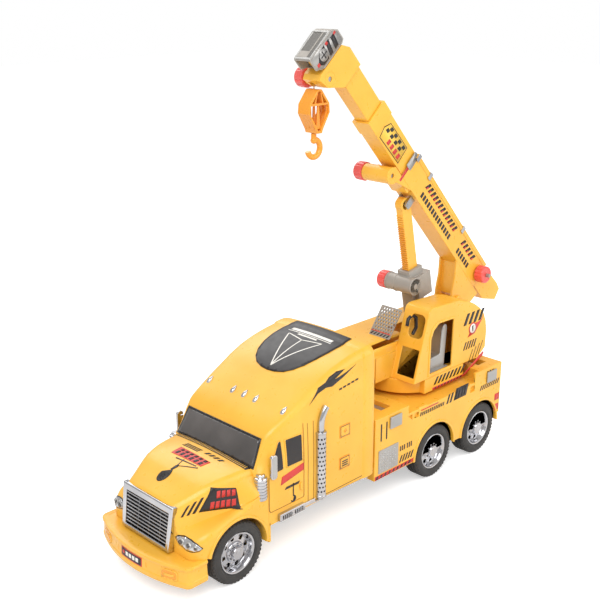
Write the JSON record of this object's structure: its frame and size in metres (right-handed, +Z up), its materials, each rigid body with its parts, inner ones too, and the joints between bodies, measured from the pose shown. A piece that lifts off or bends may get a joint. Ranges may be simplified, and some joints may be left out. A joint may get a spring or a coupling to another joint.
{
  "type": "toy crane truck",
  "caption": "Toy lorry with a long bonnet and sleeper cab, carrying a slewing crane with its own cab, luffing telescopic boom, knob-driven jack and a hook on a cord.",
  "frame": {"origin": "on the ground under the middle of the overall length", "axes": "+Y from the bonnet to the rear, +X to the truck's left side, +Z up"},
  "size_m": [0.176, 0.6702, 0.5836],
  "materials": {
    "yellow_plastic": "moulded, satin gloss",
    "amber_plastic": "moulded, glossy",
    "red_plastic": "moulded, glossy",
    "grey_plastic": "moulded, satin",
    "black_plastic": "moulded, glossy",
    "silvered_plastic": "vacuum silvered",
    "zinc_steel": "zinc plated",
    "tyre_vinyl": "soft vinyl, matt",
    "cord": "thin braided cord"
  },
  "bodies": {
    "truck": {"chassis": "black_plastic", "chassis_screws": "zinc_steel", "cab_shell": "yellow_plastic", "bumper": "yellow_plastic", "number_plate": "silvered_plastic", "grille": "silvered_plastic", "headlights": "silvered_plastic", "windshield": "black_plastic", "side_windows": "black_plastic", "marker_lights": "silvered_plastic", "roof_panel": "black_plastic", "exhaust_stacks": "silvered_plastic", "mirrors": "silvered_plastic", "air_cleaners": "silvered_plastic", "cab_steps": "silvered_plastic", "side_trims": "silvered_plastic", "crane_deck": "yellow_plastic", "tread_plates": "silvered_plastic", "slew_pedestal": "amber_plastic", "tail_lights": "red_plastic"},
    "front_wheels": {"front_axle": "zinc_steel", "front_tyres": "tyre_vinyl", "front_rims": "silvered_plastic"},
    "middle_wheels": {"middle_axle": "zinc_steel", "middle_tyres": "tyre_vinyl", "middle_rims": "silvered_plastic"},
    "rear_wheels": {"rear_axle": "zinc_steel", "rear_tyres": "tyre_vinyl", "rear_rims": "silvered_plastic"},
    "outrigger_fl": {"outrigger_front_left": "grey_plastic"},
    "outrigger_fr": {"outrigger_front_right": "grey_plastic"},
    "outrigger_rl": {"outrigger_rear_left": "grey_plastic"},
    "outrigger_rr": {"outrigger_rear_right": "grey_plastic"},
    "superstructure": {"turntable": "yellow_plastic", "slew_screw": "zinc_steel", "crane_body": "yellow_plastic", "cab_interior": "grey_plastic", "guard_plate": "grey_plastic", "boom_pivot_pin": "zinc_steel", "jack_trunnion": "zinc_steel"},
    "jack": {"jack_housing": "grey_plastic"},
    "rack": {"jack_rack": "yellow_plastic"},
    "jack_drive": {"jack_knob": "red_plastic"},
    "boom": {"boom_stage_1": "yellow_plastic", "boom_foot": "yellow_plastic", "boom_end_rings": "silvered_plastic", "jack_top_pin": "zinc_steel", "extension_housing": "yellow_plastic"},
    "extension_drive": {"extension_knob": "red_plastic"},
    "foot_drive": {"foot_knob": "red_plastic", "foot_spindle": "grey_plastic"},
    "middle_section": {"boom_stage_2": "yellow_plastic"},
    "inner_section": {"boom_stage_3": "yellow_plastic", "boom_head": "grey_plastic", "head_pin": "zinc_steel", "hoist_housing": "yellow_plastic"},
    "hoist_drive": {"hoist_knob": "red_plastic"},
    "hook_line": {"hoist_line": "cord"},
    "block": {"hook_block": "amber_plastic"},
    "hook": {"hook": "amber_plastic"}
  },
  "joints": [
    {"name": "front_wheels_spin", "type": "hinge", "parent": "truck", "child": "front_wheels", "pos_m": [0, -0.24553, 0.037], "axis": [1, 0, 0], "continuous": true},
    {"name": "middle_wheels_spin", "type": "hinge", "parent": "truck", "child": "middle_wheels", "pos_m": [0, 0.10247, 0.037], "axis": [1, 0, 0], "continuous": true},
    {"name": "rear_wheels_spin", "type": "hinge", "parent": "truck", "child": "rear_wheels", "pos_m": [0, 0.20347, 0.037], "axis": [1, 0, 0], "continuous": true},
    {"name": "outrigger_fl_slide", "type": "slide", "parent": "truck", "child": "outrigger_fl", "axis": [1, 0, 0], "range_m": [0, 0.03]},
    {"name": "outrigger_fr_slide", "type": "slide", "parent": "truck", "child": "outrigger_fr", "axis": [-1, 0, 0], "range_m": [0, 0.03]},
    {"name": "outrigger_rl_slide", "type": "slide", "parent": "truck", "child": "outrigger_rl", "axis": [1, 0, 0], "range_m": [0, 0.03]},
    {"name": "outrigger_rr_slide", "type": "slide", "parent": "truck", "child": "outrigger_rr", "axis": [-1, 0, 0], "range_m": [0, 0.03]},
    {"name": "slew", "type": "hinge", "parent": "truck", "child": "superstructure", "pos_m": [0, 0.12947, 0.125], "axis": [0, 0, 1], "range_deg": [-140, 140]},
    {"name": "luff", "type": "hinge", "parent": "superstructure", "child": "boom", "pos_m": [0, 0.22847, 0.203], "axis": [-1, 0, 0], "range_deg": [-18, 10]},
    {"name": "jack_tilt", "type": "hinge", "parent": "superstructure", "child": "jack", "pos_m": [0, 0.16247, 0.15], "axis": [1, 0, 0], "range_deg": [-8.5, 15.3]},
    {"name": "rack_slide", "type": "slide", "parent": "jack", "child": "rack", "axis": [0, -0.2092, 0.9779], "range_m": [-0.0244, 0.0136]},
    {"name": "jack_knob_turn", "type": "hinge", "parent": "jack", "child": "jack_drive", "pos_m": [0, 0.12605, 0.24856], "axis": [1, 0, 0], "range_deg": [-281, 157]},
    {"name": "extension_knob_turn", "type": "hinge", "parent": "boom", "child": "extension_drive", "pos_m": [0, 0.07798, 0.40295], "axis": [1, 0, 0], "range_deg": [-800, 165]},
    {"name": "foot_knob_turn", "type": "hinge", "parent": "boom", "child": "foot_drive", "pos_m": [0, 0.27505, 0.2351], "axis": [1, 0, 0], "range_deg": [-790, 150]},
    {"name": "middle_slide", "type": "slide", "parent": "boom", "child": "middle_section", "axis": [0, -0.6782, 0.7349], "range_m": [-0.075, 0.015]},
    {"name": "inner_slide", "type": "slide", "parent": "middle_section", "child": "inner_section", "axis": [0, -0.6782, 0.7349], "range_m": [-0.055, 0.01]},
    {"name": "hoist_knob_turn", "type": "hinge", "parent": "inner_section", "child": "hoist_drive", "pos_m": [0, -0.03584, 0.52924], "axis": [1, 0, 0], "range_deg": [-5, 2690]},
    {"name": "hook_swing", "type": "hinge", "parent": "inner_section", "child": "hook_line", "pos_m": [0, -0.03584, 0.52924], "axis": [1, 0, 0], "range_deg": [-32, 16]},
    {"name": "hoist", "type": "slide", "parent": "hook_line", "child": "block", "axis": [0, 0, -1], "range_m": [0, 0.21], "deforming": ["hoist_line"]},
    {"name": "hook_swivel", "type": "hinge", "parent": "block", "child": "hook", "pos_m": [-0.007, -0.04114, 0.46724], "axis": [0, 0, 1], "continuous": true}
  ],
  "couplings": [
    {"joint": "jack_tilt", "follows": "luff", "ratio": -0.845},
    {"joint": "rack_slide", "follows": "luff", "m_per_rad": 0.077349},
    {"joint": "jack_knob_turn", "follows": "luff", "ratio": 15.47},
    {"joint": "extension_knob_turn", "follows": "middle_slide", "rad_per_m": 185.19},
    {"joint": "foot_knob_turn", "follows": "inner_slide", "rad_per_m": 250},
    {"joint": "hoist_knob_turn", "follows": "hoist", "rad_per_m": 222.22}
  ]
}
